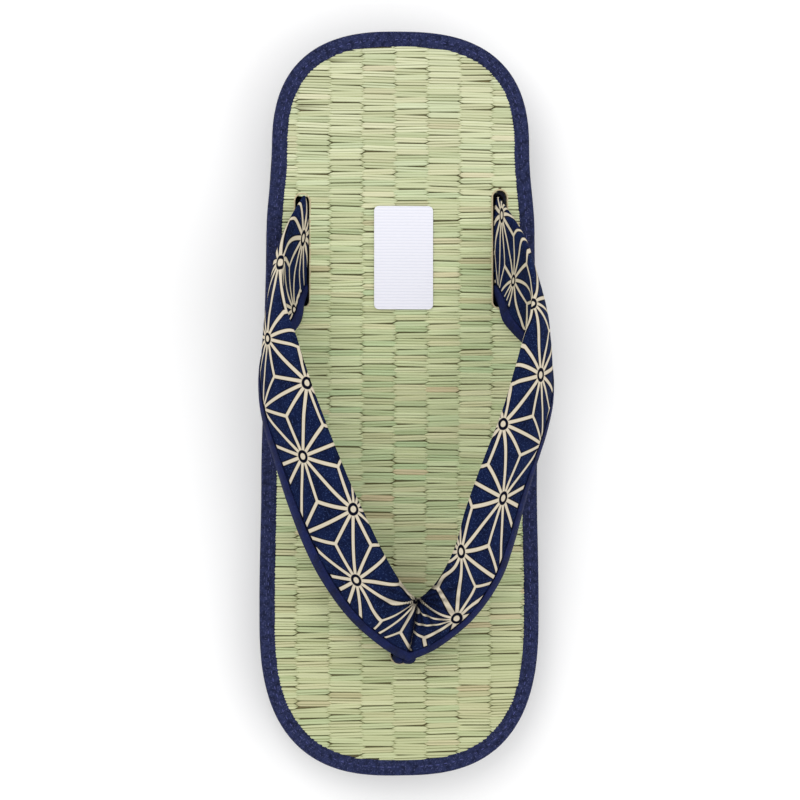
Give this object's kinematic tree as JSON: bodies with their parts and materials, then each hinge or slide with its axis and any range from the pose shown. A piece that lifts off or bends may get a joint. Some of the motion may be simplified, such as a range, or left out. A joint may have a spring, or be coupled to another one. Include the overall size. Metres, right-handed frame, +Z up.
{
  "type": "zori sandal",
  "caption": "Flat zori sandal with a taped rush mat on a sponge sole and padded cloth thong straps that meet at a toe post.",
  "frame": {"origin": "on the floor, under the middle of the sole", "axes": "+Y towards the heel, -Y towards the toe, +X the picture's right, +Z up"},
  "size_m": [0.1002, 0.26, 0.0602],
  "materials": {
    "outsole_rubber": "matte moulded rubber",
    "sponge": "matte foamed sponge",
    "rush": "woven dried rush, low gloss",
    "tape": "navy woven tape",
    "strap_cloth": "indigo slub cotton with a cream hemp-leaf lattice",
    "binding_cloth": "plain blue cotton",
    "label": "bare ribbed label"
  },
  "bodies": {
    "root": {"outsole": "outsole_rubber", "midsole": "sponge", "rush_mat": "rush", "edge_tape": "tape", "hanao": "strap_cloth", "hanao_binding": "binding_cloth", "label": "label"}
  },
  "joints": []
}
